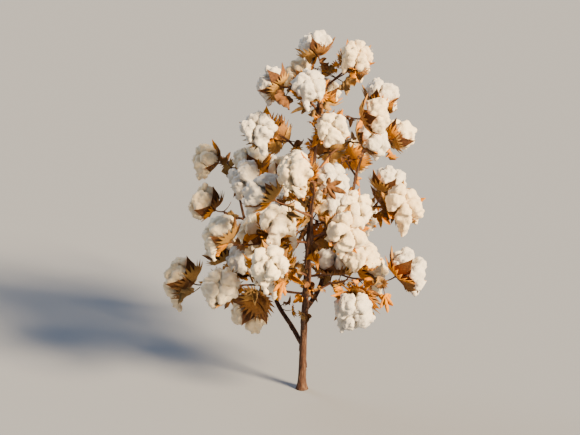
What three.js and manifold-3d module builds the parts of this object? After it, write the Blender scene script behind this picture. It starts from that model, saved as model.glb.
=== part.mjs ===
// Cotton plant at harvest: a leafless main stem, three steep side stems, and zigzag fruiting
// branches that bear open bolls of white lint in brown burs, with a few dead leaves left on.
// Millimetres, +Z up. The origin is the centre of the level cut at ground level.
import * as THREE from "three";
import { mergeVertices } from "three/addons/utils/BufferGeometryUtils.js";
import Module from "manifold-3d";

const { degToRad } = THREE.MathUtils;

// Main stem, which leans, sways and swells a little at each of its nodes
const STEM_HEIGHT = 560;
const STEM_NODES = 17;
const FIRST_NODE_HEIGHT = 46;
const NODE_CROWDING = 0.14;
const STEM_RADIUS = 7.2;
const STEM_TIP_RADIUS = 2.2;
const STEM_LEAN = 30;
const LEAN_CURVE = 1.4;
const STEM_SWAY = 8;
const SWAY_WAVES = 1.05;
const NODE_SWELLING = 0.7;
const SWELLING_LENGTH = 0.35;
const STEM_SIDES = 10;

// Root flare, which fades upwards. The stem stands plumb at first, so that its cut is level.
const FLARE_RADIUS = 12;
const FLARE_FADE = 10;
const PLUMB_HEIGHT = 5;
const FLARE_HEIGHTS = [14, 28];

// Turn from one node of a stem to the next: three eighths of a circle
const NODE_TURN = degToRad(135);

// Side stems, one at each of the lowest nodes. Each sets out low and turns up.
const BOUGH_COUNT = 3;
const FIRST_BOUGH_NODE = 1;
const BOUGH_LENGTH = 360;
const BOUGH_LENGTH_RANGE = [0.9, 1.06];
const BOUGH_TURN_RANGE = [-0.15, 0.15];
const BOUGH_ZIGZAG = 0.14;
const BOUGH_STEPS = 8;
const BOUGH_RADIUS = 4.6;
const BOUGH_TIP_RADIUS = 2.0;
const BOUGH_ROOT_RISE = degToRad(26);
const BOUGH_TIP_RISE = degToRad(70);
const BOUGH_SIDES = 8;

// Fruiting branches of the main stem, from the lowest one to the highest one: how many
// bolls, how steep, the length of the first internode, and how large the bolls are
const FIRST_FRUIT_NODE = FIRST_BOUGH_NODE + BOUGH_COUNT;
const LOW_FRUIT = { bolls: 3, rise: degToRad(8), internode: 80, size: 1 };
const HIGH_FRUIT = { bolls: 2, rise: degToRad(48), internode: 42, size: 0 };
const LOW_FRUIT_SHARE = 0.45;

// Fruiting branches of the side stems, by the step of the side stem that bears them, and
// the last boll of each stem
const SIDE_FRUIT = [
  { step: 3, bolls: 2, rise: 0.5, internode: 44, size: 0.6 },
  { step: 4, bolls: 2, rise: 0.5, internode: 44, size: 0.6 },
  { step: 6, bolls: 1, rise: 0.5, internode: 44, size: 0.6 },
  { step: 7, bolls: 1, rise: 0.5, internode: 44, size: 0.6 },
];
const SIDE_FRUIT_TURN = 1.25;
const SIDE_TIP_FRUIT = { bolls: 1, rise: 1.1, internode: 22, size: 0.5 };
const STEM_TIP_FRUIT = { bolls: 1, rise: 1.25, internode: 20, size: 0.2 };
const STEM_TIP_AZIMUTH = 0.6;

// Zigzag of a fruiting branch, which bends down and grows shorter from node to node
const ZIGZAG = degToRad(17);
const FIRST_ZIGZAG = 0.4;
const INTERNODE_SHRINK = 0.76;
const RISE_LOSS = 0.1;
const RISE_RANGE = [-0.08, 0.08];
const TWIG_RADIUS = 2.4;
const TWIG_TIP_RADIUS = 1.4;
const LONGEST_TWIG = 3;
const TWIG_SIDES = 3;

// Stalks of the bolls and leaves
const STALK_RADIUS = 1.5;
const STALK_SIDES = 3;
const STALK_STEPS = 3;
const STALK_BEND = 0.45;
const STALK_DEPTH = 0.16;
const STALK_LENGTH = 20;
const LONGEST_STALK = 60;

// Bolls: each keeps inside a ball of its own reach, and looks away from its twig
const SMALL_BOLL_REACH = 37;
const LARGE_BOLL_REACH = 46;
const BOLL_REACH_RANGE = [0.93, 1.02];
const BOLL_SEAT = 0.5;
const BOLL_TURN_RANGE = [0.5, 1.1];
const BOLL_RISE_RANGE = [0.1, 0.95];
const BOLL_OPEN_RANGE = [0.85, 1];
const LOCK_SIZE_RANGE = [0.8, 1];
const DROOP_RANGE = [0.16, 0.42];
const FIVE_LOCK_CHANCE = 0.45;
const FACING_UP = 0.3;

// Dead leaves, some of which stay on the side away from the boll
const LEAF_CHANCE = 0.42;
const LEAF_REACH = 27;
const LEAF_REACH_RANGE = [0.8, 1];
const LEAF_SEAT = 0.8;
const LEAF_TURN_RANGE = [0.7, 1.6];
const LEAF_RISE_RANGE = [-0.9, 0.1];

// Shape of an open boll, as shares of its reach, from its front to its back: how far out
// and how far forward. Each lock of lint is full at its two shoulders, and a cleft parts it
// from the next. In the last ring the tip of one valve of the bur stands out of each cleft.
const BOLL_FRONT = 0.58;
const BOLL_BACK = -0.48;
const BOLL_RINGS = [
  { shoulder: [0.54, 0.58], cleft: [0.3, 0.5], sags: true },
  { shoulder: [0.94, 0.14], cleft: [0.6, 0.12], sags: true },
  { shoulder: [0.56, -0.32], cleft: [0.97, -0.08], sags: false },
];
// Columns of one lock, as turns from its middle in locks: a cleft and two shoulders
const LOCK_COLUMNS = [-0.5, -0.25, 0.25];

// Outline of a dead leaf, as shares of its reach: along it, across it and up from it. The
// keel is a point on its lower face.
const LEAF_OUTLINE = [
  [-0.55, 0, 0.1],
  [0.05, -0.8, -0.1],
  [0.15, -0.3, 0.05],
  [0.95, 0, -0.2],
  [0.15, 0.3, 0.05],
  [0.05, 0.8, -0.1],
];
const LEAF_KEEL = [0.1, 0, -0.06];
const LEAF_BACK = -0.6;

// Room kept round each boll and leaf, and the rounds of pushing that make it. Those of one
// branch may press together.
const ROOM = 0.6;
const ROOT_GAP = 0.3;
const CLUSTER = 0.74;
const SETTLE_PASSES = 90;
const HOMING_PASSES = 60;
const HOMING = 0.12;
const GROUND_ROOM = 14;

// Seeded numbers: where the run of each kind of limb starts
const SEED = 11;
const SEED_STRIDE = 7919;
const RANDOM_FACTOR = 1664525;
const RANDOM_STEP = 1013904223;
const RANDOM_SIZE = 2 ** 32;
const STEM_TIP_RUN = 40;
const SIDE_FRUIT_RUN = 50;
const SIDE_FRUIT_RUNS = 10;
const SIDE_TIP_RUN = 80;
const BOUGH_RUN = 100;

const MERGE_DISTANCE = 1e-4;
const BARK = { color: 0x6b4630, roughness: 0.85, metalness: 0 };
const LINT = { color: 0xe9dfce, roughness: 0.95, metalness: 0 };

const UP = new THREE.Vector3(0, 0, 1);
const FIRST_ACROSS = new THREE.Vector3(1, 0.2, 0.1);

const wasm = await Module();
wasm.setup();

function mix(low, high, share) {
  return low + (high - low) * share;
}

// Repeatable random numbers from 0 to 1, one run of them for each limb.
function makeRandom(run) {
  let state = (SEED + run) * SEED_STRIDE;
  const next = () => {
    state = (state * RANDOM_FACTOR + RANDOM_STEP) % RANDOM_SIZE;
    return state / RANDOM_SIZE;
  };
  next();
  next();
  return next;
}

function draw(random, [low, high]) {
  return mix(low, high, random());
}

function heading(azimuth, rise) {
  const flat = Math.cos(rise);
  return new THREE.Vector3(Math.cos(azimuth) * flat, Math.sin(azimuth) * flat, Math.sin(rise));
}

function stemPoint(height) {
  const share = height / STEM_HEIGHT;
  const x = STEM_LEAN * Math.pow(share, LEAN_CURVE);
  const y = STEM_SWAY * share * Math.sin(2 * Math.PI * SWAY_WAVES * share);
  return new THREE.Vector3(x, y, height);
}

function stemRadius(height) {
  const flare = (FLARE_RADIUS - STEM_RADIUS) * Math.exp(-height / FLARE_FADE);
  return mix(STEM_RADIUS, STEM_TIP_RADIUS, height / STEM_HEIGHT) + flare;
}

// Nodes stand closer together towards the tip.
function stemNodeHeight(node) {
  const share = node / STEM_NODES;
  return mix(FIRST_NODE_HEIGHT, STEM_HEIGHT, share * (1 + NODE_CROWDING - NODE_CROWDING * share));
}

function planStem() {
  const points = [stemPoint(0), new THREE.Vector3(0, 0, PLUMB_HEIGHT)];
  const radii = [stemRadius(0), stemRadius(PLUMB_HEIGHT)];
  const add = (height, swelling = 0) => {
    points.push(stemPoint(height));
    radii.push(stemRadius(height) + swelling);
  };
  FLARE_HEIGHTS.forEach((height) => add(height));
  for (let node = 0; node < STEM_NODES; node += 1) {
    const height = stemNodeHeight(node);
    add(height, NODE_SWELLING);
    add(mix(height, stemNodeHeight(node + 1), SWELLING_LENGTH));
  }
  add(STEM_HEIGHT);
  return { points, radii };
}

function planBough(index) {
  const node = FIRST_BOUGH_NODE + index;
  const random = makeRandom(BOUGH_RUN + index);
  const azimuth = node * NODE_TURN + draw(random, BOUGH_TURN_RANGE);
  const length = BOUGH_LENGTH * draw(random, BOUGH_LENGTH_RANGE);
  const points = [stemPoint(stemNodeHeight(node))];
  const radii = [BOUGH_RADIUS];
  for (let step = 1; step <= BOUGH_STEPS; step += 1) {
    const share = step / BOUGH_STEPS;
    const rise = mix(BOUGH_ROOT_RISE, BOUGH_TIP_RISE, Math.sqrt(share));
    const turn = azimuth + (step % 2 === 0 ? BOUGH_ZIGZAG : -BOUGH_ZIGZAG);
    const stride = heading(turn, rise).multiplyScalar(length / BOUGH_STEPS);
    points.push(points[step - 1].clone().add(stride));
    radii.push(mix(BOUGH_RADIUS, BOUGH_TIP_RADIUS, share));
  }
  return { name: `side_stem_${index + 1}`, azimuth, points, radii };
}

// Fruiting branch: a zigzag of internodes, each ending at a node with a boll.
function planBranch(name, run, foot, azimuth, form) {
  const random = makeRandom(run);
  const points = [foot];
  const organs = [];
  let side = random() < 0.5 ? 1 : -1;
  let rise = form.rise + draw(random, RISE_RANGE);
  let internode = form.internode;
  for (let node = 0; node < form.bolls; node += 1) {
    const way = azimuth + side * ZIGZAG * (node === 0 ? FIRST_ZIGZAG : 1);
    const joint = points[node].clone().addScaledVector(heading(way, rise), internode);
    points.push(joint);
    organs.push(planBoll(name, joint, way, side, form.size, random));
    if (random() < LEAF_CHANCE) {
      organs.push(planLeaf(name, joint, way, side, random));
    }
    side = -side;
    rise -= RISE_LOSS;
    internode *= INTERNODE_SHRINK;
  }
  return { name, points, organs };
}

function planBoll(branch, foot, way, side, size, random) {
  const reach = mix(SMALL_BOLL_REACH, LARGE_BOLL_REACH, size) * draw(random, BOLL_REACH_RANGE);
  const turned = way + side * draw(random, BOLL_TURN_RANGE);
  const lean = heading(turned, draw(random, BOLL_RISE_RANGE));
  const centre = foot.clone().addScaledVector(lean, STALK_LENGTH + BOLL_SEAT * reach);
  const open = draw(random, BOLL_OPEN_RANGE);
  const locks = random() < FIVE_LOCK_CHANCE ? 5 : 4;
  const sizes = Array.from({ length: locks }, () => draw(random, LOCK_SIZE_RANGE));
  const turn = random() * 2 * Math.PI;
  const droop = draw(random, DROOP_RANGE);
  const wanted = centre.clone();
  return { kind: "boll", branch, foot, wanted, centre, reach, open, locks, sizes, turn, droop };
}

function planLeaf(branch, foot, way, side, random) {
  const turned = way - side * draw(random, LEAF_TURN_RANGE);
  const lean = heading(turned, draw(random, LEAF_RISE_RANGE));
  const reach = LEAF_REACH * draw(random, LEAF_REACH_RANGE);
  const centre = foot.clone().addScaledVector(lean, STALK_LENGTH + LEAF_SEAT * reach);
  const turn = random() * 2 * Math.PI;
  return { kind: "leaf", branch, foot, wanted: centre.clone(), centre, reach, turn };
}

function planStemBranches() {
  const branches = [];
  const last = STEM_NODES - 1;
  for (let node = FIRST_FRUIT_NODE; node <= last; node += 1) {
    const share = (node - FIRST_FRUIT_NODE) / (last - FIRST_FRUIT_NODE);
    const form = {
      bolls: (share < LOW_FRUIT_SHARE ? LOW_FRUIT : HIGH_FRUIT).bolls,
      rise: mix(LOW_FRUIT.rise, HIGH_FRUIT.rise, share),
      internode: mix(LOW_FRUIT.internode, HIGH_FRUIT.internode, share),
      size: mix(LOW_FRUIT.size, HIGH_FRUIT.size, share),
    };
    const number = String(node - FIRST_FRUIT_NODE + 1).padStart(2, "0");
    const foot = stemPoint(stemNodeHeight(node));
    branches.push(planBranch(`fruiting_branch_${number}`, node, foot, node * NODE_TURN, form));
  }
  const top = stemPoint(STEM_HEIGHT);
  branches.push(planBranch("stem_tip", STEM_TIP_RUN, top, STEM_TIP_AZIMUTH, STEM_TIP_FRUIT));
  return branches;
}

function planSideBranches(bough, index) {
  const branches = SIDE_FRUIT.map((form, place) => {
    const azimuth = bough.azimuth + (place % 2 === 0 ? SIDE_FRUIT_TURN : -SIDE_FRUIT_TURN);
    const run = SIDE_FRUIT_RUN + SIDE_FRUIT_RUNS * index + place;
    const foot = bough.points[form.step];
    return planBranch(`${bough.name}_branch_${place + 1}`, run, foot, azimuth, form);
  });
  const tip = bough.points[BOUGH_STEPS];
  const run = SIDE_TIP_RUN + index;
  branches.push(planBranch(`${bough.name}_tip`, run, tip, bough.azimuth, SIDE_TIP_FRUIT));
  return branches;
}

// Limbs as straight runs with a thickness, each with the name of what it belongs to.
function runsOf(name, points, radii) {
  return points.slice(1).map((end, index) => {
    const radius = Math.max(radii[index], radii[index + 1]);
    return { name, start: points[index], end, radius };
  });
}

function twigRadii(points) {
  return points.map((_, index) => mix(TWIG_RADIUS, TWIG_TIP_RADIUS, index / LONGEST_TWIG));
}

function nearestOnRun(run, point) {
  const line = run.end.clone().sub(run.start);
  const along = point.clone().sub(run.start).dot(line) / line.lengthSq();
  return run.start.clone().addScaledVector(line, THREE.MathUtils.clamp(along, 0, 1));
}

function roomBetween(first, second) {
  const together = first.reach + second.reach;
  return first.branch === second.branch ? CLUSTER * together : together + ROOM;
}

function pushApart(organ, others) {
  for (const other of others) {
    const away = organ.centre.clone().sub(other.centre);
    const lacking = roomBetween(organ, other) - away.length();
    if (lacking > 0) {
      away.normalize();
      organ.centre.addScaledVector(away, lacking / 2);
      other.centre.addScaledVector(away, -lacking / 2);
    }
  }
}

function pushFromRuns(organ, runs) {
  for (const run of runs) {
    const away = organ.centre.clone().sub(nearestOnRun(run, organ.centre));
    const lacking = organ.reach + run.radius + ROOM - away.length();
    if (run.name !== organ.branch && lacking > 0) {
      organ.centre.addScaledVector(away.normalize(), lacking);
    }
  }
}

function holdStalk(organ) {
  const stalk = organ.centre.clone().sub(organ.foot);
  organ.centre.copy(organ.foot).add(stalk.clampLength(0, LONGEST_STALK));
  organ.centre.z = Math.max(organ.centre.z, organ.reach + GROUND_ROOM);
}

// Moves bolls and leaves apart until each has its own room, as they do when they open.
function settle(organs, runs) {
  for (let pass = 0; pass < SETTLE_PASSES; pass += 1) {
    organs.forEach((organ, index) => {
      if (pass < HOMING_PASSES) {
        organ.centre.lerp(organ.wanted, HOMING);
      }
      pushApart(organ, organs.slice(index + 1));
      pushFromRuns(organ, runs);
      holdStalk(organ);
    });
  }
}

function isClear(organ, kept, runs) {
  const touchesOrgan = kept.some((other) => {
    const away = organ.centre.distanceTo(other.centre);
    return organ.branch !== other.branch && away < organ.reach + other.reach + ROOT_GAP;
  });
  const touchesRun = runs.some((run) => {
    const away = nearestOnRun(run, organ.centre).distanceTo(organ.centre);
    return organ.branch !== run.name && away < organ.reach + run.radius + ROOT_GAP;
  });
  return !touchesOrgan && !touchesRun;
}

function axisOf(organ) {
  const axis = organ.centre.clone().sub(organ.foot).normalize();
  return axis.addScaledVector(UP, organ.kind === "boll" ? FACING_UP : 0).normalize();
}

// Whole plant as points, thicknesses, and the bolls and leaves that found room.
function planPlant() {
  const stem = planStem();
  const boughs = Array.from({ length: BOUGH_COUNT }, (_, index) => planBough(index));
  const branches = [...planStemBranches(), ...boughs.flatMap(planSideBranches)];
  const runs = runsOf("main_stem", stem.points, stem.radii);
  boughs.forEach((bough) => runs.push(...runsOf(bough.name, bough.points, bough.radii)));
  branches.forEach((branch) => {
    runs.push(...runsOf(branch.name, branch.points, twigRadii(branch.points)));
  });
  const organs = branches.flatMap((branch) => branch.organs);
  settle(organs, runs);
  const kept = [];
  for (const organ of organs) {
    if (isClear(organ, kept, runs)) {
      kept.push({ ...organ, axis: axisOf(organ) });
    }
  }
  branches.forEach((branch) => {
    branch.organs = kept.filter((organ) => organ.branch === branch.name);
  });
  return { stem, boughs, branches };
}

// Any closed geometry as a solid. One that came out facing in is turned round.
function solidFrom(geometry) {
  const bare = geometry.index ? geometry.toNonIndexed() : geometry.clone();
  bare.deleteAttribute("normal");
  bare.deleteAttribute("uv");
  const merged = mergeVertices(bare, MERGE_DISTANCE);
  const mesh = { numProp: 3, vertProperties: merged.attributes.position.array };
  const triVerts = new Uint32Array(merged.index.array);
  const made = new wasm.Manifold(new wasm.Mesh({ ...mesh, triVerts }));
  if (made.volume() > 0) {
    return made;
  }
  return new wasm.Manifold(new wasm.Mesh({ ...mesh, triVerts: triVerts.reverse() }));
}

function directionAt(points, index) {
  const before = points[Math.max(0, index - 1)];
  const after = points[Math.min(points.length - 1, index + 1)];
  return after.clone().sub(before).normalize();
}

// Tapering limb: a cylinder whose rings are carried onto the points.
function limbSolid(points, radii, sides) {
  const steps = points.length - 1;
  const geometry = new THREE.CylinderGeometry(1, 1, 1, sides, steps);
  const frames = [];
  let across = FIRST_ACROSS;
  points.forEach((_, index) => {
    const along = directionAt(points, index);
    across = across.clone().addScaledVector(along, -across.dot(along)).normalize();
    frames.push({ across, other: across.clone().cross(along) });
  });
  const position = geometry.attributes.position;
  const vertex = new THREE.Vector3();
  for (let index = 0; index < position.count; index += 1) {
    vertex.fromBufferAttribute(position, index);
    const row = Math.round((vertex.y + 0.5) * steps);
    const placed = points[row].clone();
    placed.addScaledVector(frames[row].across, vertex.x * radii[row]);
    placed.addScaledVector(frames[row].other, vertex.z * radii[row]);
    position.setXYZ(index, placed.x, placed.y, placed.z);
  }
  return solidFrom(geometry);
}

// The same limb a little larger, to cut whatever meets it clear of its bark.
function clearanceSolid(points, radii, sides) {
  const last = points.length - 1;
  const tip = points[last].clone().addScaledVector(directionAt(points, last), ROOT_GAP);
  const longer = [...points.slice(0, last), tip];
  return limbSolid(longer, radii.map((radius) => radius + ROOT_GAP), sides);
}

// Places a point by a boll's or leaf's own measures, and keeps it inside its ball.
function placer({ centre, axis, reach }) {
  const side = new THREE.Vector3().crossVectors(UP, axis).normalize();
  const other = new THREE.Vector3().crossVectors(axis, side);
  return (azimuth, outward, sideways, axial, sag = 0) => {
    const out = side.clone().multiplyScalar(Math.cos(azimuth));
    out.addScaledVector(other, Math.sin(azimuth));
    const across = new THREE.Vector3().crossVectors(axis, out);
    const offset = out.multiplyScalar(outward * reach);
    offset.addScaledVector(across, sideways * reach).addScaledVector(axis, axial * reach);
    offset.addScaledVector(UP, -sag * reach);
    return centre.clone().add(offset.clampLength(0, reach));
  };
}

// One open boll: a ball drawn out into four or five locks of lint, which sag by their own
// weight, with a pointed valve of the bur between each two.
function bollSolid(boll) {
  const place = placer(boll);
  const points = [place(0, 0, 0, BOLL_FRONT), place(0, 0, 0, BOLL_BACK)];
  for (const ring of BOLL_RINGS) {
    for (let lock = 0; lock < boll.locks; lock += 1) {
      LOCK_COLUMNS.forEach((offset, column) => {
        const azimuth = boll.turn + ((lock + offset) * 2 * Math.PI) / boll.locks;
        const [outward, axial] = column === 0 ? ring.cleft : ring.shoulder;
        const spread = outward * boll.open * (column === 0 ? 1 : boll.sizes[lock]);
        const sag = ring.sags ? boll.droop * spread * spread : 0;
        points.push(place(azimuth, spread, 0, axial, sag));
      });
    }
  }
  const geometry = new THREE.BufferGeometry().setFromPoints(points);
  geometry.setIndex(ringFaces(BOLL_RINGS.length, LOCK_COLUMNS.length * boll.locks));
  return solidFrom(geometry);
}

// Faces between two poles, points 0 and 1, and the rings of points that follow them. Each
// cell beside a cleft is split so that an edge runs on from the cleft.
function ringFaces(rings, columns) {
  const at = (ring, column) => 2 + ring * columns + (column % columns);
  const faces = [];
  for (let column = 0; column < columns; column += 1) {
    faces.push(0, at(0, column), at(0, column + 1));
    faces.push(1, at(rings - 1, column + 1), at(rings - 1, column));
    for (let ring = 0; ring + 1 < rings; ring += 1) {
      const [first, second] = [at(ring, column), at(ring + 1, column)];
      const [third, fourth] = [at(ring + 1, column + 1), at(ring, column + 1)];
      if (column % LOCK_COLUMNS.length === 0) {
        faces.push(first, second, third, first, third, fourth);
      } else {
        faces.push(first, second, fourth, second, third, fourth);
      }
    }
  }
  return faces;
}

// Dead leaf: an upper face on the outline and a keel on the lower face.
function leafSolid(leaf) {
  const place = placer(leaf);
  const points = [...LEAF_OUTLINE, LEAF_KEEL].map(([along, sideways, up]) => {
    return place(leaf.turn, up, sideways, along);
  });
  const keel = LEAF_OUTLINE.length;
  const faces = [];
  for (let corner = 0; corner < keel; corner += 1) {
    const next = (corner + 1) % keel;
    faces.push(keel, next, corner);
    if (corner > 0 && next > 0) {
      faces.push(0, corner, next);
    }
  }
  const geometry = new THREE.BufferGeometry().setFromPoints(points);
  geometry.setIndex(faces);
  return solidFrom(geometry);
}

// Stalk: leaves the twig and bends round to enter its boll or leaf along the axis.
function stalkSolid(organ) {
  const back = organ.kind === "boll" ? BOLL_BACK : LEAF_BACK;
  const entry = organ.centre.clone().addScaledVector(organ.axis, back * organ.reach);
  const bend = STALK_BEND * entry.distanceTo(organ.foot);
  const middle = entry.clone().addScaledVector(organ.axis, -bend);
  const inside = entry.clone().addScaledVector(organ.axis, STALK_DEPTH * organ.reach);
  const curve = new THREE.QuadraticBezierCurve3(organ.foot, middle, inside);
  const points = curve.getPoints(STALK_STEPS);
  return limbSolid(points, points.map(() => STALK_RADIUS), STALK_SIDES);
}

// Joins the pieces of one branch, cuts its root clear, and drops what fusing sealed in or
// left loose.
function fused(solids, room) {
  const bodies = solids.reduce((whole, solid) => whole.add(solid)).subtract(room).decompose();
  return bodies.reduce((best, body) => (body.volume() > best.volume() ? body : best));
}

function branchSolids(branch) {
  const twig = limbSolid(branch.points, twigRadii(branch.points), TWIG_SIDES);
  const organs = branch.organs.flatMap((organ) => {
    return [stalkSolid(organ), organ.kind === "boll" ? bollSolid(organ) : leafSolid(organ)];
  });
  return [twig, ...organs];
}

function meshOf(name, solid, look) {
  const made = solid.getMesh();
  const geometry = new THREE.BufferGeometry();
  geometry.setAttribute("position", new THREE.BufferAttribute(made.vertProperties, 3));
  geometry.setIndex(new THREE.BufferAttribute(made.triVerts, 1));
  geometry.computeVertexNormals();
  const mesh = new THREE.Mesh(geometry, new THREE.MeshStandardMaterial(look));
  mesh.name = name;
  return mesh;
}

function buildPlant() {
  const { stem, boughs, branches } = planPlant();
  const plant = new THREE.Group();
  const stemRoom = clearanceSolid(stem.points, stem.radii, STEM_SIDES);
  plant.add(meshOf("main_stem", limbSolid(stem.points, stem.radii, STEM_SIDES), BARK));
  const boughRooms = new Map();
  boughs.forEach(({ name, points, radii }) => {
    plant.add(meshOf(name, fused([limbSolid(points, radii, BOUGH_SIDES)], stemRoom), BARK));
    boughRooms.set(name, clearanceSolid(points, radii, BOUGH_SIDES));
  });
  branches.forEach((branch) => {
    const host = boughs.find((bough) => branch.name.startsWith(bough.name));
    const room = host ? boughRooms.get(host.name) : stemRoom;
    plant.add(meshOf(branch.name, fused(branchSolids(branch), room), LINT));
  });
  return plant;
}

export default buildPlant();
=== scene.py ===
# Cotton plant at harvest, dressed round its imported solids: bark with relief, zigzag twigs with
# spurs and withered buds, open bolls of loose lint that hangs in tails, dry burs with toothed
# bracts, a few dead leaves, and scraps of leaf at the nodes.
# The plan is in millimetres, as in the part's source, and MM turns it into metres.
from math import atan2, cos, exp, pi, radians, sin, sqrt, tan
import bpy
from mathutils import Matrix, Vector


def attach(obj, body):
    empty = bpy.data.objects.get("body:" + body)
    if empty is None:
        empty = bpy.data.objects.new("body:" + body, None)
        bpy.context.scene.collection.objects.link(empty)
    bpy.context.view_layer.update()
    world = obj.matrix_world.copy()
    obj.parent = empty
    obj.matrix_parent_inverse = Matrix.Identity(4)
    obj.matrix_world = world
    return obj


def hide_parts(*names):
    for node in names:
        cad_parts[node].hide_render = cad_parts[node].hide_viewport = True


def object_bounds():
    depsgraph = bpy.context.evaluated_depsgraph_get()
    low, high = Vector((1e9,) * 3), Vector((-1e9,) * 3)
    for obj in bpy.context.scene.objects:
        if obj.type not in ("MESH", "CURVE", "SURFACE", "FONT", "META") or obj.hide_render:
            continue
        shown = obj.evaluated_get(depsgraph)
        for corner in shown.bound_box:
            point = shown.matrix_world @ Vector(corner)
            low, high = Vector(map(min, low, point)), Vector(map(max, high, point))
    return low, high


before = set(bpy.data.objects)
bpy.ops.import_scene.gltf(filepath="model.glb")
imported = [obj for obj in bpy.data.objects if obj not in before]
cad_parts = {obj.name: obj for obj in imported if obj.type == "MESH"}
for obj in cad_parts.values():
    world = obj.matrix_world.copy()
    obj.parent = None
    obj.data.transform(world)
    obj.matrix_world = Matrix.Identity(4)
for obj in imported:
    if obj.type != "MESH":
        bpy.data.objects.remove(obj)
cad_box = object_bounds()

from types import SimpleNamespace as Group

import bmesh
import bpy
import numpy as np
from mathutils import Vector, noise

MM = 0.001
UP = np.array((0.0, 0.0, 1.0))
TURN = 2 * pi
LEAST_LENGTH = 1e-9

# Main stem, with a flare at its foot, and swellings and leaf scars at its nodes
STEM = Group(
    height=560, nodes=17, first_node=46, crowding=0.14, turn=radians(135), radius=7.2,
    tip_radius=2.2, lean=30, lean_curve=1.4, sway=8, sway_waves=1.05, swelling=0.7,
    swelling_length=0.35, flare=12, flare_fade=10, flare_heights=(14, 28), plumb=5,
    sides=56, scars=(1.5, 0.9),
)

# Side stems
BOUGH = Group(
    count=3, first_node=1, length=360, lengths=(0.9, 1.06), turns=(-0.15, 0.15), zigzag=0.14,
    steps=8, radius=4.6, tip_radius=2.0, rise=radians(26), tip_rise=radians(70), sides=36,
    scar=0.9, branch_scar=1.0,
)

# Fruiting branches: how many bolls, how steep, the first internode, and the bolls' size
FIRST_FRUIT_NODE = BOUGH.first_node + BOUGH.count
LOW_FRUIT = Group(bolls=3, rise=radians(8), internode=80, size=1)
HIGH_FRUIT = Group(bolls=2, rise=radians(48), internode=42, size=0)
LOW_FRUIT_SHARE = 0.45
SIDE_FRUIT = [
    Group(step=step, bolls=bolls, rise=0.5, internode=44, size=0.6)
    for step, bolls in ((3, 2), (4, 2), (6, 1), (7, 1))
]
SIDE_FRUIT_TURN = 1.25
SIDE_TIP_FRUIT = Group(bolls=1, rise=1.1, internode=22, size=0.5)
STEM_TIP_FRUIT = Group(bolls=1, rise=1.25, internode=20, size=0.2)
STEM_TIP_AZIMUTH = 0.6
BRANCH = Group(
    zigzag=radians(17), first_zigzag=0.4, shrink=0.76, rise_loss=0.1, rises=(-0.08, 0.08),
    radius=2.4, tip_radius=1.4, longest=3,
)

# Looks of twigs, and stalks, in millimetres and in shares of their length and thickness
TWIG = Group(
    sides=8, steps=8, bow=0.03, node=3.5, slim=0.9, swell=0.3, uneven=0.05, end=0.8,
)
STALK = Group(
    bend=0.45, length=20, longest=60, rows=10, sides=7, sink=0.06, boll_radii=(1.15, 1.75),
    leaf_radii=(0.9, 0.7), foot=0.5, foot_fade=9, uneven=0.04,
)

# Bolls, dead leaves and scraps: reaches and stalks in millimetres, the rest in shares of these
BOLL = Group(
    small=37, large=46, reaches=(0.93, 1.02), seat=0.5, turns=(0.5, 1.1), rises=(0.1, 0.95),
    openings=(0.85, 1), lock_sizes=(0.8, 1), droops=(0.16, 0.42), five_locks=0.45,
    facing_up=0.3, back=-0.48,
)
LEAF = Group(
    chance=0.42, reach=27, reaches=(0.8, 1), seat=0.8, turns=(0.7, 1.6), rises=(-0.9, 0.1),
    back=-0.6, lobes=5, columns=8, rows=9, spread=2.3, length=1.46, heel=0.03,
    root=(-0.58, 0.0), lean=0.3, curls=(-1.1, -0.2), folds=(0.6, 0.95), fold_rise=1.3,
    notch=0.4, point=0.8, side=0.55, side_fade=1.3, narrowing=0.9, gather=0.25,
    pleats=0.16, pleat_level=0.6, roll=1.1, roll_start=0.55, roll_reach=1.2, thickness=0.022,
)
SCRAP = Group(lobes=3, columns=6, rows=5, reaches=(12, 21), stalk=10, sink=0.35)
# Crumples of a leaf: height, waves round, along and across it, and how they grow to its edge
CRUMPLES = ((0.10, 4, 0, 0, 1.5), (0.07, 0, 9, 0, 1), (0.05, 0, 15, 17, 0))
# How far the waves of a bract or leaf may be shifted, as an angle
SHIFT = 6

# Room round each boll and leaf, and how they move apart
ROOM = Group(
    gap=0.6, least_gap=0.3, cluster=0.74, ground=14, passes=90, homing_passes=60, homing=0.12,
)

# Seeded numbers, in runs of their own for each limb
SEED = 11
RANDOM = Group(stride=7919, factor=1664525, step=1013904223, size=2 ** 32)
RUN = Group(stem_tip=40, side=50, sides=10, side_tip=80, bough=100)

# Lint: the lumps of a lock from its root over its crown to its underside, as outward,
# forward and radius in shares of the boll's reach
LOCK_ROWS = (
    (0.14, 0.20, 0.15),
    (0.32, 0.38, 0.19),
    (0.54, 0.36, 0.20),
    (0.68, 0.12, 0.20),
    (0.60, -0.12, 0.17),
    (0.38, -0.04, 0.22),
)
LOCK = Group(columns=(-1, 0, 1), fill=0.72, turn=0.05, lift=0.05, droops=(0.6, 1.7))
LUMP = Group(jitter=0.025, radii=(0.8, 1.12), room=0.97)
PUFF = Group(count=6, radii=(0.08, 0.13), sink=0.5, lean=0.5)
TAIL = Group(
    chance=0.6, root=0.6, jitter=0.06, step=0.11, sway=0.045, spread=0.1, steps=(3, 8),
    radii=(0.2, 0.2, 0.19, 0.17, 0.15, 0.13, 0.10),
)
BALL_SUBDIVISIONS = 3
VOXEL = 2.4
SMOOTHING_ROUNDS = 2
# Lumpiness of the lint's surface: wavelength and height, in millimetres, the noise that
# leaves it where it is, and how far apart in the noise two bolls lie
BILLOWS = ((13.0, 4.2), (6.0, 3.2), (3.0, 1.3))
BILLOW_LEVEL = 0.25
BILLOW_STRIDE = 10
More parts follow.
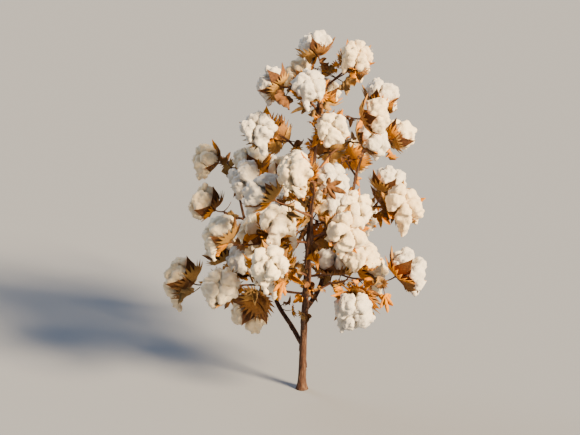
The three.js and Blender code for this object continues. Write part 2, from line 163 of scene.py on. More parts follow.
# Loose fibres, in millimetres, and how much of each way and bend is outward, random or down
FIBRES_PER_LOCK = 52
FIBRE = Group(
    lengths=(2.5, 8), radius=0.09, sides=3, rows=((0, 1.0), (0.5, 0.75)), sink=0.3,
    out=0.3, stray=0.6, down=0.2, bend=0.7, back=0.3,
)

# Bur, in shares of the boll's reach: a valve's middle line, outward and forward, half its
# width, and how that changes from root to tip. Valves are wider where there are fewer, and
# reach further where the boll is more open. A ridge along each is its thin partition
VALVE = Group(
    line=((0.04, -0.50), (0.46, -0.52), (0.76, -0.08), (0.97, 0.08)), width=0.27,
    outline=(
        (0, 0.36), (0.15, 0.76), (0.35, 1), (0.55, 0.82), (0.7, 0.5), (0.83, 0.22), (1, 0.02),
    ),
    widening=(0.9, 1.15), opening=(0.9, 1), thickness=0.03, thinning=0.5, back_width=1.02,
    lift=0.03, curls=(0.17, -0.16), skew=0.04, margin=0.09, ridge_height=0.1, ridge_width=0.07,
    rows=11, columns=(-1, -0.66, -0.33, -0.07, 0, 0.07, 0.33, 0.66, 1),
)
# The knob under a bur: places along the axis and radii
RECEPTACLE_ROWS = ((-0.13, 0.045), (-0.07, 0.11), (-0.02, 0.15), (0.03, 0.12))
RECEPTACLE_SIDES = 10
# How far lint and bracts stay from a valve, and for bracts over lint how near in direction
# it counts, as a cosine, how far out it counts, and the gap
SEAT = Group(lint=0.012, bract=0.055, cover=0.994, edge=0.98, gap=0.02)

# Spurs, in millimetres and in shares of their length, and withered buds
FIRST_SPUR_STEP = 2
SPUR = Group(
    chance=0.95, tries=12, sight=1.5, lift=0.4, lengths=(12, 28), knee=0.55, end=0.5,
    turn=0.25, turn_lift=0.3, steps=5, radii=(1.1, 0.6), sides=6,
)
BUD = Group(chance=0.7, reaches=(11, 17), seat=0.5, rows=(0.05, 0.5, 1), teeth=5)

# Bracts, in shares of the reach, with rows from the root to the teeth
BRACT = Group(
    count=3, turn=0.5, teeth=9, rows=(0.05, 0.3, 0.54, 1), spread=1.35, valley=0.58,
    shoulder=0.72, crown=0.28, narrowing=0.85, width=0.95, ruffle=0.05, waves=5, cup=0.5,
    root=(0.07, -0.52), lengths=(0.75, 1.12), leans=(-0.5, 0.1), curls=(0.5, 1.9),
    ribs=0.022, thickness=0.012,
)

# Relief of the bark, in millimetres, drawn out along the limb: fissures, ridges, the
# swelling at a node, and the leaf scar below it as a rim round a hollow
RELIEF_STEP = 2.0
BARK_STRETCH = (1, 1, 0.14)
FISSURE = Group(width=3.4, depth=0.6, share=0.2)
RIDGE = Group(width=7.0, height=0.6, seed=5.0)
BULGE = Group(height=0.9, length=2.6, fade=0.35)
SCAR = Group(
    below=4.5, length=1.9, width=2.4, rim=0.6, rim_fade=3, hollow=0.45, hollow_fade=2.2,
)
# The direction in which the first ring of a tube begins
FIRST_ACROSS = (1, 0.2, 0.1)

# The pieces of lint up the main stem, by the last branch of each
LAST_LOW = 4
LAST_MIDDLE = 8

# Where in a noise's range the tints lie, and how much finer than the tints the grain is
TINT_RANGE = (0.3, 0.7)
GRAIN_FINENESS = 3
# Tints: a name, features for each metre and two or three colours. Lint has one scale
LINT_TINTS = (
    ("lint_white", (0.88, 0.76, 0.56), (0.79, 0.66, 0.45)),
    ("lint_cream", (0.87, 0.715, 0.48), (0.76, 0.595, 0.36)),
    # Greyer lint dealt to some bolls at random: partly weathered lint, and partly painted shade, a
    # darker copy of the lint that stands in for shaded lint
    ("lint_grey", (0.74, 0.68, 0.58), (0.62, 0.56, 0.47)),
)
# The inner and the outer face of a valve by turns
INSIDE = 0
OUTSIDE = 1
BUR_TINTS = (
    ("bur_inside_tan", 300, (0.29, 0.137, 0.03), (0.46, 0.238, 0.06)),
    ("bur_outside_brown", 340, (0.085, 0.034, 0.011), (0.20, 0.082, 0.024)),
    ("bur_inside_orange", 300, (0.46, 0.158, 0.002), (0.66, 0.258, 0.004)),
    ("bur_outside_dark", 340, (0.05, 0.021, 0.009), (0.14, 0.056, 0.02)),
)
BRACT_TINTS = (
    ("bract_tan", 260, (0.28, 0.142, 0.033), (0.45, 0.25, 0.067)),
    ("bract_brown", 260, (0.14, 0.06, 0.016), (0.27, 0.125, 0.033)),
    ("bract_orange", 260, (0.44, 0.153, 0.002), (0.64, 0.253, 0.004)),
)
LEAF_TINTS = (
    ("leaf_brown", 160, (0.09, 0.037, 0.012), (0.20, 0.085, 0.025)),
    ("leaf_orange", 160, (0.42, 0.148, 0.002), (0.62, 0.247, 0.004)),
    ("leaf_tan", 160, (0.22, 0.123, 0.038), (0.36, 0.215, 0.075)),
)
STEM_BARK = ("bark", 300, (0.022, 0.011, 0.008), (0.068, 0.031, 0.019), (0.15, 0.088, 0.056))
TWIG_BARK = ("twig_bark", 420, (0.04, 0.016, 0.010), (0.10, 0.042, 0.022), (0.18, 0.088, 0.045))

# Camera and light
CAMERA = Group(elevation=radians(15), distance=2.1, lens=75, sight=2000)
FLOOR = Group(size=1000, colour=(0.252, 0.27, 0.305))
FILL = Group(colour=(0.58, 0.74, 1.0), strength=0.40)
KEY = Group(
    source=(1.5, -1.2, 1.0), power=19.5, colour=(1.0, 0.76, 0.46), softness=radians(14),
)
BACK = Group(
    source=(-1.4, 1.4, 1.0), power=2.0, colour=(0.95, 0.96, 1.0), softness=radians(30),
)


def mix(low, high, share):
    return low + (high - low) * share


def unit(vector):
    return vector / np.linalg.norm(vector)


def lengths(vectors):
    return np.sqrt((vectors * vectors).sum(axis=-1))


def make_random(run):
    """Repeatable random numbers from 0 to 1, one run of them for each limb."""
    state = (SEED + run) * RANDOM.stride

    def following():
        nonlocal state
        state = (state * RANDOM.factor + RANDOM.step) % RANDOM.size
        return state / RANDOM.size

    following()
    following()
    return following


def draw(random, bounds):
    return mix(bounds[0], bounds[1], random())


def heading(azimuth, rise):
    flat = cos(rise)
    return np.array((cos(azimuth) * flat, sin(azimuth) * flat, sin(rise)))


def stem_point(height):
    share = height / STEM.height
    x = STEM.lean * share ** STEM.lean_curve
    y = STEM.sway * share * sin(TURN * STEM.sway_waves * share)
    return np.array((x, y, height))


def stem_radius(height):
    flare = (STEM.flare - STEM.radius) * exp(-height / STEM.flare_fade)
    return mix(STEM.radius, STEM.tip_radius, height / STEM.height) + flare


def stem_node_height(node):
    share = node / STEM.nodes
    return mix(STEM.first_node, STEM.height, share * (1 + STEM.crowding - STEM.crowding * share))


def plan_stem():
    points = [stem_point(0), np.array((0.0, 0.0, STEM.plumb))]
    radii = [stem_radius(0), stem_radius(STEM.plumb)]
    rows = [(height, 0) for height in STEM.flare_heights]
    for node in range(STEM.nodes):
        height = stem_node_height(node)
        rows.append((height, STEM.swelling))
        rows.append((mix(height, stem_node_height(node + 1), STEM.swelling_length), 0))
    rows.append((STEM.height, 0))
    for height, swelling in rows:
        points.append(stem_point(height))
        radii.append(stem_radius(height) + swelling)
    return Group(name="main_stem", points=points, radii=radii)


def plan_bough(index):
    node = BOUGH.first_node + index
    random = make_random(RUN.bough + index)
    azimuth = node * STEM.turn + draw(random, BOUGH.turns)
    length = BOUGH.length * draw(random, BOUGH.lengths)
    points = [stem_point(stem_node_height(node))]
    radii = [BOUGH.radius]
    for step in range(1, BOUGH.steps + 1):
        share = step / BOUGH.steps
        rise = mix(BOUGH.rise, BOUGH.tip_rise, sqrt(share))
        turn = azimuth + (BOUGH.zigzag if step % 2 == 0 else -BOUGH.zigzag)
        points.append(points[-1] + heading(turn, rise) * (length / BOUGH.steps))
        radii.append(mix(BOUGH.radius, BOUGH.tip_radius, share))
    return Group(name=f"side_stem_{index + 1}", azimuth=azimuth, points=points, radii=radii)


def plan_branch(name, run, foot, azimuth, form):
    """Fruiting branch: a zigzag of internodes, each ending at a node with a boll."""
    random = make_random(run)
    points = [foot]
    organs = []
    side = 1 if random() < 0.5 else -1
    rise = form.rise + draw(random, BRANCH.rises)
    internode = form.internode
    for node in range(form.bolls):
        way = azimuth + side * BRANCH.zigzag * (BRANCH.first_zigzag if node == 0 else 1)
        joint = points[-1] + heading(way, rise) * internode
        points.append(joint)
        organs.append(plan_boll(name, joint, way, side, form.size, random))
        if random() < LEAF.chance:
            organs.append(plan_leaf(name, joint, way, side, random))
        side = -side
        rise -= BRANCH.rise_loss
        internode *= BRANCH.shrink
    shares = [index / BRANCH.longest for index in range(len(points))]
    radii = [mix(BRANCH.radius, BRANCH.tip_radius, share) for share in shares]
    return Group(name=name, points=points, radii=radii, organs=organs)


def plan_boll(branch, foot, way, side, size, random):
    reach = mix(BOLL.small, BOLL.large, size) * draw(random, BOLL.reaches)
    turned = way + side * draw(random, BOLL.turns)
    lean = heading(turned, draw(random, BOLL.rises))
    wanted = foot + lean * (STALK.length + BOLL.seat * reach)
    opened = draw(random, BOLL.openings)
    locks = 5 if random() < BOLL.five_locks else 4
    sizes = [draw(random, BOLL.lock_sizes) for _ in range(locks)]
    turn = random() * TURN
    droop = draw(random, BOLL.droops)
    return Group(
        kind="boll", branch=branch, foot=foot, wanted=wanted, reach=reach,
        opened=opened, locks=locks, sizes=sizes, turn=turn, droop=droop,
    )


def plan_leaf(branch, foot, way, side, random):
    turned = way - side * draw(random, LEAF.turns)
    lean = heading(turned, draw(random, LEAF.rises))
    reach = LEAF.reach * draw(random, LEAF.reaches)
    wanted = foot + lean * (STALK.length + LEAF.seat * reach)
    turn = random() * TURN
    return Group(kind="leaf", branch=branch, foot=foot, wanted=wanted, reach=reach, turn=turn)


def plan_stem_branches():
    branches = []
    last = STEM.nodes - 1
    for node in range(FIRST_FRUIT_NODE, last + 1):
        share = (node - FIRST_FRUIT_NODE) / (last - FIRST_FRUIT_NODE)
        form = Group(
            bolls=LOW_FRUIT.bolls if share < LOW_FRUIT_SHARE else HIGH_FRUIT.bolls,
            rise=mix(LOW_FRUIT.rise, HIGH_FRUIT.rise, share),
            internode=mix(LOW_FRUIT.internode, HIGH_FRUIT.internode, share),
            size=mix(LOW_FRUIT.size, HIGH_FRUIT.size, share),
        )
        name = f"fruiting_branch_{node - FIRST_FRUIT_NODE + 1:02d}"
        foot = stem_point(stem_node_height(node))
        branches.append(plan_branch(name, node, foot, node * STEM.turn, form))
    top = stem_point(STEM.height)
    branches.append(plan_branch("stem_tip", RUN.stem_tip, top, STEM_TIP_AZIMUTH, STEM_TIP_FRUIT))
    return branches


def plan_side_branches(bough, index):
    branches = []
    for place, form in enumerate(SIDE_FRUIT):
        azimuth = bough.azimuth + (SIDE_FRUIT_TURN if place % 2 == 0 else -SIDE_FRUIT_TURN)
        run = RUN.side + RUN.sides * index + place
        foot = bough.points[form.step]
        branches.append(plan_branch(f"{bough.name}_branch_{place + 1}", run, foot, azimuth, form))
    tip = bough.points[BOUGH.steps]
    run = RUN.side_tip + index
    branches.append(plan_branch(f"{bough.name}_tip", run, tip, bough.azimuth, SIDE_TIP_FRUIT))
    return branches


def runs_of(limbs):
    """Limbs as straight runs with a thickness, and the name of what each belongs to."""
    rows = [
        (limb.name, limb.points[i], limb.points[i + 1], max(limb.radii[i], limb.radii[i + 1]))
        for limb in limbs for i in range(len(limb.points) - 1)
    ]
    names, starts, ends, radii = zip(*rows)
    starts = np.array(starts)
    lines = np.array(ends) - starts
    squares = (lines * lines).sum(axis=1)
    return Group(
        names=np.array(names), starts=starts, lines=lines, squares=squares, radii=np.array(radii),
    )


def away_from_runs(runs, point):
    along = ((point - runs.starts) * runs.lines).sum(axis=1) / runs.squares
    return point - runs.starts - runs.lines * np.clip(along, 0, 1)[:, None]


def push_apart(centres, index, rooms):
    """Pushes one boll or leaf and each later one apart in turn."""
    later = index + 1
    while later < len(centres):
        away = centres[index] - centres[later:]
        distances = lengths(away)
        lacking = rooms[index, later:] - distances
        hits = np.flatnonzero(lacking > 0)
        if not hits.size:
            return
        hit = hits[0]
        push = away[hit] / distances[hit] * (lacking[hit] / 2)
        centres[index] += push
        centres[later + hit] -= push
        later += hit + 1


def push_from_runs(centres, index, organ, runs):
    first = 0
    while True:
        away = away_from_runs(runs, centres[index])
        distances = lengths(away)
        lacking = organ.reach + runs.radii + ROOM.gap - distances
        lacking[runs.names == organ.branch] = 0
        hits = np.flatnonzero(lacking[first:] > 0)
        if not hits.size:
            return
        hit = first + hits[0]
        centres[index] += away[hit] / distances[hit] * lacking[hit]
        first = hit + 1


def hold_stalk(centres, index, organ):
    stalk = centres[index] - organ.foot
    length = np.linalg.norm(stalk)
    centres[index] = organ.foot + stalk * (min(length, STALK.longest) / length)
    centres[index, 2] = max(centres[index, 2], organ.reach + ROOM.ground)


def room_between(first, second):
    together = first.reach + second.reach
    return ROOM.cluster * together if first.branch == second.branch else together + ROOM.gap


def settle(organs, runs):
    """Moves bolls and leaves apart until each has its own room, as they do when they open."""
    centres = np.array([organ.wanted for organ in organs])
    rooms = np.array([[room_between(first, second) for second in organs] for first in organs])
    for turn in range(ROOM.passes):
        for index, organ in enumerate(organs):
            if turn < ROOM.homing_passes:
                centres[index] += (organ.wanted - centres[index]) * ROOM.homing
            push_apart(centres, index, rooms)
            push_from_runs(centres, index, organ, runs)
            hold_stalk(centres, index, organ)
    for organ, centre in zip(organs, centres):
        organ.centre = centre


def is_clear(organ, kept, runs):
    for other in kept:
        away = np.linalg.norm(organ.centre - other.centre)
        if organ.branch != other.branch and away < organ.reach + other.reach + ROOM.least_gap:
            return False
    distances = lengths(away_from_runs(runs, organ.centre))
    near = (distances < organ.reach + runs.radii + ROOM.least_gap) & (runs.names != organ.branch)
    return not near.any()


def axis_of(organ):
    axis = unit(organ.centre - organ.foot)
    return unit(axis + UP * BOLL.facing_up) if organ.kind == "boll" else axis


def plan_plant():
    """Boughs and branches as points and thicknesses, with the bolls and leaves that found room."""
    boughs = [plan_bough(index) for index in range(BOUGH.count)]
    branches = plan_stem_branches()
    for index, bough in enumerate(boughs):
        branches += plan_side_branches(bough, index)
    runs = runs_of([plan_stem(), *boughs, *branches])
    organs = [organ for branch in branches for organ in branch.organs]
    settle(organs, runs)
    kept = []
    for organ in organs:
        if is_clear(organ, kept, runs):
            organ.axis = axis_of(organ)
            kept.append(organ)
    for branch in branches:
        branch.organs = [organ for organ in kept if organ.branch == branch.name]
    return boughs, branches


def new_object(name, data):
    made = bpy.data.objects.new(name, data)
    bpy.context.scene.collection.objects.link(made)
    return made


class Heap:
    """Collects the points and faces of one piece, with the number of each face's material."""

    def __init__(self, name):
        self.name = name
        self.points = []
        self.blocks = []
        self.count = 0

    def add(self, points, *blocks, kind=0):
        """Adds points with blocks of faces, each an array of corner numbers."""
        self.points.append(np.asarray(points, float).reshape(-1, 3))
        for block in blocks:
            kinds = kind if isinstance(kind, np.ndarray) else np.full(len(block), kind)
            self.blocks.append((np.asarray(block) + self.count, kinds))
        self.count += len(self.points[-1])

    def piece(self, materials, slot, nodes=()):
        """Makes the object, in metres, hangs it from the root body and hides the imported solids
        that it dresses.
        """
        mesh = bpy.data.meshes.new(self.name)
        points = np.concatenate(self.points) * MM
        corners = np.concatenate([block.ravel() for block, _ in self.blocks])
        sizes = np.concatenate([np.full(len(block), block.shape[1]) for block, _ in self.blocks])
        mesh.vertices.add(len(points))
        mesh.vertices.foreach_set("co", points.astype(np.float32).ravel())
        mesh.loops.add(len(corners))
        mesh.loops.foreach_set("vertex_index", corners.astype(np.int32))
        mesh.polygons.add(len(sizes))
        mesh.polygons.foreach_set("loop_start", (np.cumsum(sizes) - sizes).astype(np.int32))
        kinds = np.concatenate([kinds for _, kinds in self.blocks])
        mesh.polygons.foreach_set("material_index", kinds.astype(np.int32))
        mesh.update(calc_edges=True)
        mesh.validate()
        mesh.shade_smooth()
        for material in materials:
            mesh.materials.append(material)
        piece = new_object(self.name, mesh)
        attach(piece, "root")
        if nodes:
            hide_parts(*nodes)


def grid_faces(rows, columns, closed):
    """Quads between rows of points. A closed grid also joins its last column to its first."""
    cells = np.arange(columns if closed else columns - 1)
    following = (cells + 1) % columns
    quads = []
    for row in range(rows - 1):
        low, high = row * columns, (row + 1) * columns
        corners = (low + cells, low + following, high + following, high + cells)
        quads.append(np.stack(corners, axis=1))
    return np.concatenate(quads)


def facing_out(points, block):
    """The faces of a closed shape, turned round if they face in."""
    first, second, third = points[block[:, 0]], points[block[:, 1]], points[block[:, 2]]
    volume = np.einsum("ij,ij->i", first, np.cross(second, third)).sum()
    if block.shape[1] == 4:
        fourth = points[block[:, 3]]
        volume += np.einsum("ij,ij->i", first, np.cross(third, fourth)).sum()
    return block if volume > 0 else block[:, ::-1]


def shell(front, back):
    """A thin closed piece between two grids of points of the same shape."""
    rows, columns = front.shape[:2]
    points = np.concatenate((front.reshape(-1, 3), back.reshape(-1, 3)))
    size = rows * columns
    faces = grid_faces(rows, columns, False)
    outline = np.concatenate((
        np.arange(columns - 1),
        np.arange(rows - 1) * columns + columns - 1,
        size - 1 - np.arange(columns - 1),
        (rows - 1 - np.arange(rows - 1)) * columns,
    ))
    following = np.roll(outline, -1)
    rim = np.stack((outline, outline + size, following + size, following), axis=1)
    block = np.concatenate((faces, faces[:, ::-1] + size, rim))
    middle = points.mean(axis=0)
    return points, facing_out(points - middle, block), len(faces)


def frames_along(points):
    """Two directions across a path at each point, turned as little as possible."""
    points = np.asarray(points)
    befores = np.concatenate((points[:1], points[:-1]))
    afters = np.concatenate((points[1:], points[-1:]))
    alongs = [unit(after - before) for before, after in zip(befores, afters)]
    across = np.array(FIRST_ACROSS)
    firsts = []
    for along in alongs:
        across = unit(across - along * across.dot(along))
        firsts.append(across)
    firsts = np.array(firsts)
    return firsts, np.cross(firsts, np.array(alongs))


def tube(points, radii, sides):
    """Rings of points round a path. radii may give each ring one value or one for each side."""
    firsts, others = frames_along(points)
    angles = np.arange(sides) * TURN / sides
    radii = np.asarray(radii, float)
    radii = radii[:, None] if radii.ndim == 1 else radii
    flat, steep = np.cos(angles)[None, :, None], np.sin(angles)[None, :, None]
    out = flat * firsts[:, None] + steep * others[:, None]
    return np.asarray(points)[:, None] + out * radii[:, :, None]


def add_tube(heap, points, radii, sides, kind=0):
    rings = tube(points, radii, sides)
    rows = len(rings)
    faces = grid_faces(rows, sides, True)
    caps = np.array([np.arange(sides), (rows - 1) * sides + np.arange(sides)[::-1]])
    flat = rings.reshape(-1, 3)
    middle = flat.mean(axis=0)
    turned = facing_out(flat - middle, faces)
    if turned is faces:
        caps = caps[:, ::-1]
    heap.add(flat, turned, caps, kind=kind)


def smooth_path(points, step):
    """Points every step or so along a Catmull-Rom curve through the given points."""
    points = np.asarray(points, float)
    first, last = 2 * points[:1] - points[1:2], 2 * points[-1:] - points[-2:-1]
    padded = np.concatenate((first, points, last))
    path = []
    for index in range(len(points) - 1):
        before, start, end, after = padded[index:index + 4]
        count = max(1, round(np.linalg.norm(end - start) / step))
        for share in np.arange(count) / count:
            bend = (2 * before - 5 * start + 4 * end - after) * share ** 2
            twist = (-before + 3 * start - 3 * end + after) * share ** 3
            path.append(0.5 * (2 * start + (end - before) * share + bend + twist))
    path.append(points[-1])
    return np.array(path)


def distances_along(path):
    return np.concatenate(((0,), np.cumsum(lengths(np.diff(path, axis=0)))))


def noise_at(points, wavelength, seed=0.0):
    """Smooth noise, about -1 to 1, at each point."""
    scaled = (np.asarray(points) / wavelength + seed).tolist()
    return np.array([noise.noise(Vector(point)) for point in scaled])


def bark_relief(rings, radius, distances, scars):
    """How far each point of a limb's rings moves in or out: fissures, swellings and scars."""
    rows, sides = rings.shape[:2]
    flat = rings.reshape(-1, 3)
    fissures = np.abs(noise_at(flat * BARK_STRETCH, FISSURE.width)).reshape(rows, sides)
    ridges = noise_at(flat * BARK_STRETCH, RIDGE.width, RIDGE.seed).reshape(rows, sides)
    relief = RIDGE.height * ridges - FISSURE.depth * np.clip(1 - fissures / FISSURE.share, 0, 1)
    relief *= np.minimum(1, radius / STEM.radius)[:, None]
    angles = np.arange(sides) * TURN / sides
    for place, angle, size in scars:
        apart = (angles - angle + pi) % TURN - pi
        rise = (distances - place)[:, None] / (BULGE.length * size)
        swell = np.exp(-(rise ** 2) * BULGE.fade) * (0.5 + 0.5 * np.cos(apart))[None, :] ** 2
        relief += BULGE.height * size * swell
        below = (distances - place + SCAR.below * size)[:, None] / (SCAR.length * size)
        sideways = (apart * np.mean(radius))[None, :] / (SCAR.width * size)
        scar = below ** 2 + sideways ** 2
        rim = SCAR.rim * np.exp(-((scar - 1) ** 2) * SCAR.rim_fade)
        relief += size * (rim - SCAR.hollow * np.exp(-scar * SCAR.hollow_fade))
    return relief


def angle_round(firsts, others, row, direction):
    """The angle at which a direction lies round a tube's ring."""
    return atan2(direction.dot(others[row]), direction.dot(firsts[row]))


def add_limb(heap, path, radii, sides, scars):
    """A limb with the bark's relief. scars are distances along it, directions and sizes."""
    firsts, others = frames_along(path)
    distances = distances_along(path)
    rows = np.searchsorted(distances, [place for place, _, _ in scars]).clip(max=len(path) - 1)
    turned = [
        (place, angle_round(firsts, others, row, direction), size)
        for row, (place, direction, size) in zip(rows, scars)
    ]
    rings = tube(path, radii, sides)
    relief = bark_relief(rings, radii, distances, turned)
    add_tube(heap, path, radii[:, None] + relief, sides)


def add_stem(heap):
    heights = np.arange(0, STEM.height + RELIEF_STEP, RELIEF_STEP).clip(0, STEM.height)
    path = np.array([stem_point(height) for height in heights])
    path[heights <= STEM.plumb, :2] = 0
    radii = np.array([stem_radius(height) for height in heights])
    scars = [
        (stem_node_height(node), heading(node * STEM.turn, 0), mix(*STEM.scars, node / STEM.nodes))
        for node in range(STEM.nodes)
    ]
    add_limb(heap, path, radii, STEM.sides, scars)


def add_bough(heap, bough, branches):
    path = smooth_path(bough.points, RELIEF_STEP)
    distances = distances_along(path)
    share = distances / distances[-1]
    radii = mix(BOUGH.radius, BOUGH.tip_radius, share)
    step_length = distances[-1] / BOUGH.steps
    scars = []
    for step in range(1, BOUGH.steps):
        azimuth = bough.azimuth + (SIDE_FRUIT_TURN if step % 2 else -SIDE_FRUIT_TURN)
        scars.append((step * step_length, heading(azimuth, 0), BOUGH.scar))
    for branch in branches:
        if branch.name.startswith(bough.name + "_branch"):
            direction = unit(branch.points[1] - branch.points[0])
            near = int(np.argmin(lengths(path - branch.points[0])))
            scars.append((distances[near], direction, BOUGH.branch_scar))
    add_limb(heap, path, radii, BOUGH.sides, scars)


def add_twig(heap, branch, random):
    """A zigzag twig, a little bowed between its nodes and swollen at them."""
    points, radii = [], []
    for index in range(len(branch.points) - 1):
        start, end = branch.points[index], branch.points[index + 1]
        length = np.linalg.norm(end - start)
        bow = np.cross(end - start, random.normal(size=3)) * TWIG.bow
        for share in np.arange(TWIG.steps) / TWIG.steps:
            points.append(mix(start, end, share) + bow * sin(pi * share))
            thick = mix(branch.radii[index], branch.radii[index + 1], share)
            behind, ahead = share * length / TWIG.node, (1 - share) * length / TWIG.node
            swell = exp(-behind ** 2) + exp(-ahead ** 2)
            radii.append(thick * (TWIG.slim + TWIG.swell * swell + TWIG.uneven * random.normal()))
    points.append(branch.points[-1])
    radii.append(branch.radii[-1] * TWIG.end)
    add_tube(heap, points, radii, TWIG.sides)


def rooms_beside(organs, points):
    """How far points lie outside the ball of each boll and leaf."""
    centres = np.array([organ.centre for organ in organs])
    reaches = np.array([organ.reach for organ in organs])
    return lengths(points[..., None, :] - centres) - reaches


def clearest_way(foot, length, lift, organs, random):
    """Of some random ways from a foot, the one whose end has most room among bolls and leaves."""
    ways = random.normal(size=(SPUR.tries, 3)) + UP * lift
    ways /= lengths(ways)[:, None]
    return ways[np.argmax(rooms_beside(organs, foot + ways * length).min(axis=1))]


def add_spur(heaps, foot, organs, random):
    """A short dry spur left at a node, often with the withered bud that it once fed."""
    length = draw(random.random, SPUR.lengths)
    direction = clearest_way(foot, SPUR.sight * length, SPUR.lift, organs, random)
    turned = unit(direction + random.normal(size=3) * SPUR.turn + UP * SPUR.turn_lift)
    middle = foot + direction * length * SPUR.knee
    tip = middle + turned * length * SPUR.end
    path = smooth_path([foot, middle, tip], length / SPUR.steps)
    add_tube(heaps.twigs, path, np.linspace(*SPUR.radii, len(path)), SPUR.sides)
    if random.random() < BUD.chance:
        add_bud(heaps.bracts, tip, turned, random)


def add_scrap(heaps, foot, organs, random):
    """What is left of the leaf that grew at a node: a small curled scrap on its thin stalk."""
    reach = draw(random.random, SCRAP.reaches)
    axis = clearest_way(foot, SCRAP.stalk + reach, -SCRAP.sink, organs, random)
    centre = foot + axis * (SCRAP.stalk + LEAF.seat * reach)
    turn = random.random() * TURN
    scrap = Group(kind="leaf", foot=foot, centre=centre, axis=axis, reach=reach, turn=turn)
    add_stalk(heaps.twigs, scrap, random)
    add_leaf(heaps.dead_leaves, scrap, random, SCRAP)


def add_bud(heap, foot, axis, random):
    """A withered bud: small toothed bracts shut round a dry tip."""
    reach = draw(random.random, BUD.reaches)
    bud = Group(centre=foot + axis * BUD.seat * reach, axis=axis, reach=reach)
    for bract in range(BRACT.count):
        azimuth = bract * TURN / BRACT.count + random.random()
        add_bract(heap, bud, azimuth, random, BUD)


def add_spurs(heaps, boughs, branches, random):
    """Spurs and scraps of leaf at the nodes of the stems and of the fruiting branches."""
    organs = [organ for branch in branches for organ in branch.organs]
    feet = [stem_point(stem_node_height(node)) for node in range(FIRST_FRUIT_NODE, STEM.nodes)]
    feet += [point for bough in boughs for point in bough.points[FIRST_SPUR_STEP:BOUGH.steps]]
    feet += [joint for branch in branches for joint in branch.points[1:]]
    for foot in feet:
        if random.random() < SPUR.chance:
            add_spur(heaps, foot, organs, random)
        add_scrap(heaps, foot, organs, random)


def add_stalk(heap, organ, random):
    """Leaves the twig and bends round to enter its boll or leaf along the axis."""
    is_boll = organ.kind == "boll"
    back = BOLL.back if is_boll else LEAF.back
    entry = organ.centre + organ.axis * back * organ.reach
    distance = np.linalg.norm(entry - organ.foot)
    middle = entry - organ.axis * STALK.bend * distance
    inside = entry + organ.axis * STALK.sink * organ.reach
    shares = np.linspace(0, 1, STALK.rows)
    share = shares[:, None]
    path = (1 - share) ** 2 * organ.foot + 2 * share * (1 - share) * middle + share ** 2 * inside
    ends = STALK.boll_radii if is_boll else STALK.leaf_radii
    radii = mix(*ends, shares ** 3) + STALK.foot * np.exp(-(shares * STALK.foot_fade) ** 2)
    radii = radii * (1 + STALK.uneven * random.normal(size=STALK.rows))
    add_tube(heap, path, radii, STALK.sides)


def across_at(organ, azimuth):
    """Outward and sideways directions at a turn about an organ's axis."""
    side = unit(np.cross(UP, organ.axis))
    other = np.cross(organ.axis, side)
    out = cos(azimuth) * side + sin(azimuth) * other
    return out, np.cross(organ.axis, out)


def held(offset, reach):
    """Offsets from an organ's centre, kept inside its ball."""
    return offset * np.minimum(1, reach / np.maximum(lengths(offset), LEAST_LENGTH))[..., None]


def placed(organ, azimuth, outward, sideways, axial):
    """Points at measures in shares of an organ's reach, kept inside its ball."""
    out, across = across_at(organ, azimuth)
    measures = np.broadcast_arrays(outward, sideways, axial)
    outward, sideways, axial = (measure[..., None] for measure in measures)
    offset = outward * out + sideways * across + axial * organ.axis
    return organ.centre + held(offset * organ.reach, organ.reach)


def unit_ball():
    ball = bmesh.new()
    bmesh.ops.create_icosphere(ball, subdivisions=BALL_SUBDIVISIONS, radius=1)
    points = np.array([vertex.co for vertex in ball.verts])
    faces = np.array([[vertex.index for vertex in face.verts] for face in ball.faces])
    ball.free()
    return points, faces


BALL = unit_ball()


def sagged(boll, place, droop):
    """Lint sinks by its weight, the more the further it stands from the boll's axis."""
    spread = place - place.dot(boll.axis) * boll.axis
    return place - UP * droop * spread.dot(spread)


def within(place, radius):
    """A lump moved in until it lies inside the boll's ball."""
    return place * min(1, (LUMP.room - radius) / np.linalg.norm(place))


def tail_lumps(boll, start, across, organs, random):
    """Lint pulled down by its weight from a lock's underside, as far as other bolls leave room."""
    lumps = []
    others = [organ for organ in organs if organ is not boll]
    for side in (-1, 1):
        place = start + across * side * TAIL.spread
        steps = random.integers(*TAIL.steps)
        for thick in TAIL.radii[-steps:]:
            place = place - UP * TAIL.step + random.normal(size=3) * TAIL.sway
            rooms = rooms_beside(others, boll.centre + place * boll.reach)
            if rooms.min() < thick * boll.reach:
                break
            lumps.append((place, thick))
    return lumps


def lock_lumps(boll, lock, organs, random):
    """Centres and radii of the lumps of one lock, in shares of the boll's reach."""
    azimuth = boll.turn + lock * TURN / boll.locks + random.normal() * LOCK.turn
    out, across = across_at(boll, azimuth)
    size = boll.sizes[lock] * boll.opened
    droop = boll.droop * draw(random.random, LOCK.droops)
    lift = random.normal() * LOCK.lift
    slimmest = LOCK_ROWS[0][2]
    lumps = []
    for outward, axial, radius in LOCK_ROWS:
        room = outward * tan(pi / boll.locks) * LOCK.fill
        for column in LOCK.columns:
            thick = min(radius * draw(random.random, LUMP.radii), max(room, slimmest))
            sideways = column * max(0, room - thick)
            place = out * outward * size + across * sideways + boll.axis * (axial + lift)
            place = place + random.normal(size=3) * LUMP.jitter
            lumps.append((within(sagged(boll, place, droop), thick), thick))
    for _ in range(PUFF.count):
        place, thick = lumps[random.integers(len(LOCK_ROWS) * len(LOCK.columns))]
        puff = draw(random.random, PUFF.radii)
        way = unit(random.normal(size=3) + (out + boll.axis) * PUFF.lean)
        lumps.append((within(place + way * (thick - PUFF.sink * puff), puff), puff))
    if random.random() < TAIL.chance:
        start = out * TAIL.root * size + across * random.normal() * TAIL.jitter
        lumps += tail_lumps(boll, sagged(boll, start, droop), across, organs, random)
    return lumps


def read(items, key, width, kind=np.float32):
    values = np.empty(len(items) * width, kind)
    items.foreach_get(key, values)
    return values


